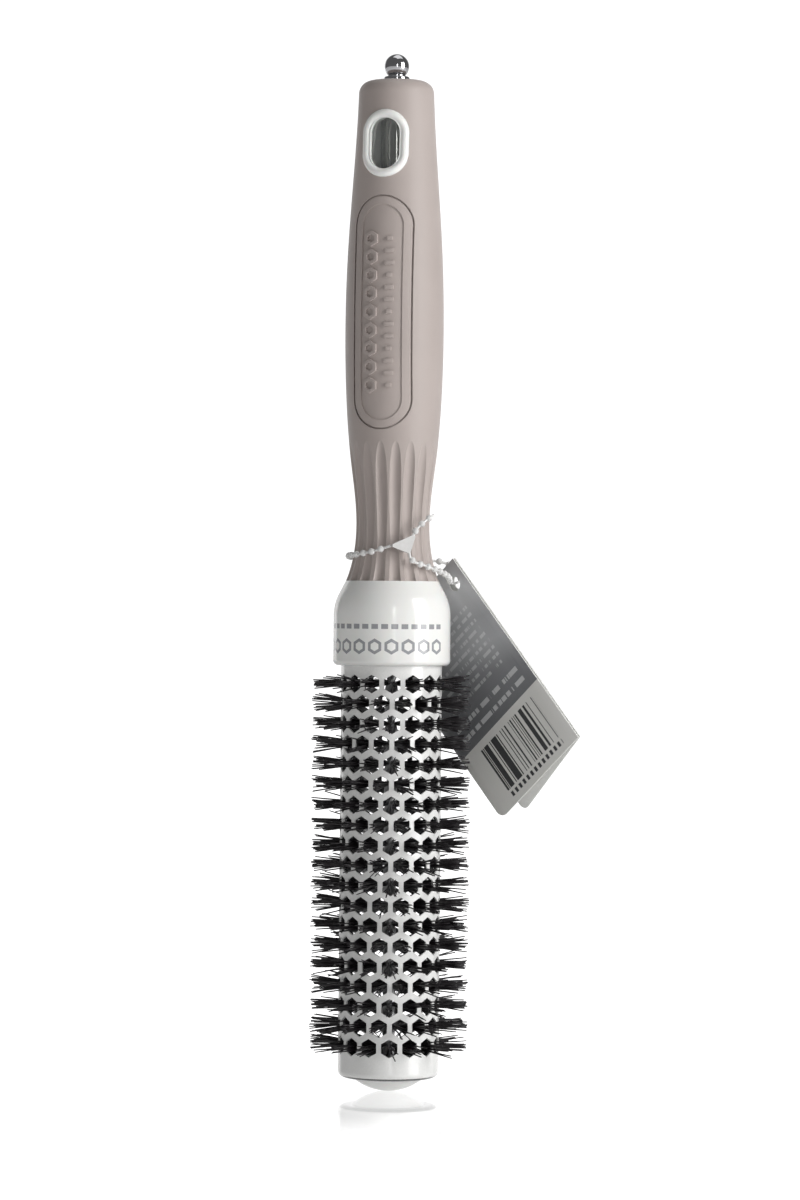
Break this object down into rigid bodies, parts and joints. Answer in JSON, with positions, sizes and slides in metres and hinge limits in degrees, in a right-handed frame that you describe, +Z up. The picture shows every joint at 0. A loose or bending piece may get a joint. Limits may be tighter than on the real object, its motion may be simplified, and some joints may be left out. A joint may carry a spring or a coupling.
{
  "type": "round barrel brush",
  "caption": "Round hair brush with a perforated metal barrel, tufted bristles, soft grip, pull-out sectioning pick and a folded swing tag.",
  "frame": {"origin": "lowest point of the tip dome, on the brush's axis, with the brush standing on its tip", "axes": "+Z up the brush's axis from tip to handle, -Y the side of the handle with the window"},
  "size_m": [0.0672, 0.053, 0.257],
  "materials": {
    "barrel_coating": "gloss white ceramic-filled coating on aluminium tube",
    "tip_plastic": "gloss, moulded",
    "wire_steel": "drawn steel wire",
    "bristle_nylon": "extruded nylon filament",
    "plug_plastic": "moulded",
    "collar_plastic": "gloss, moulded",
    "core_plastic": "moulded",
    "grip_rubber": "soft-touch overmould, satin",
    "bezel_plastic": "gloss, moulded",
    "lens_clear": "clear, polished",
    "chrome_plate": "polished plate",
    "bush_plastic": "moulded",
    "seal_rubber": "moulded ring",
    "tie_plastic": "clear, moulded",
    "tag_card": "printed and folded card, stood in for by plastic"
  },
  "bodies": {
    "brush": {"barrel_tube": "barrel_coating", "tip_cap": "tip_plastic", "core_wire": "wire_steel", "bristle_row_01": "bristle_nylon", "bristle_row_02": "bristle_nylon", "bristle_row_03": "bristle_nylon", "bristle_row_04": "bristle_nylon", "bristle_row_05": "bristle_nylon", "bristle_row_06": "bristle_nylon", "bristle_row_07": "bristle_nylon", "bristle_row_08": "bristle_nylon", "bristle_row_09": "bristle_nylon", "bristle_row_10": "bristle_nylon", "bristle_row_11": "bristle_nylon", "bristle_row_12": "bristle_nylon", "bristle_row_13": "bristle_nylon", "bristle_row_14": "bristle_nylon", "bristle_row_15": "bristle_nylon", "bristle_row_16": "bristle_nylon", "bristle_row_17": "bristle_nylon", "bristle_row_18": "bristle_nylon", "bristle_row_19": "bristle_nylon", "barrel_plug": "plug_plastic", "collar": "collar_plastic", "handle_core": "core_plastic", "grip": "grip_rubber", "window_bezel": "bezel_plastic", "window_lens": "lens_clear", "guide_tube": "chrome_plate", "guide_bush": "bush_plastic", "friction_ring": "seal_rubber"},
    "pick": {"pick_knob": "chrome_plate", "pick_rod": "chrome_plate", "pick_stop": "bush_plastic"},
    "tie": {"tie_string": "tie_plastic", "tie_beads": "tie_plastic", "tie_lock": "tie_plastic"},
    "tag": {"tag_front_leaf": "tag_card"},
    "tag_back": {"tag_back_leaf": "tag_card"}
  },
  "joints": [
    {"name": "pick_slide", "type": "slide", "parent": "brush", "child": "pick", "axis": [0, 0, 1], "range_m": [0, 0.065]},
    {"name": "tie_turn", "type": "hinge", "parent": "brush", "child": "tie", "pos_m": [0, 0, 0.132], "axis": [0, 0, 1], "range_deg": [-120, 120]},
    {"name": "tag_swing", "type": "hinge", "parent": "tie", "child": "tag", "pos_m": [0.01227, 0.01412, 0.12585], "axis": [-0.396, -0.9095, -0.1267], "range_deg": [0, 30]},
    {"name": "tag_fold", "type": "hinge", "parent": "tag", "child": "tag_back", "pos_m": [0.0119, 0.0134, 0.1322], "axis": [0.6181, -0.162, -0.7692], "range_deg": [-12, 4], "stiffness_Nm_per_rad": 0.002}
  ]
}
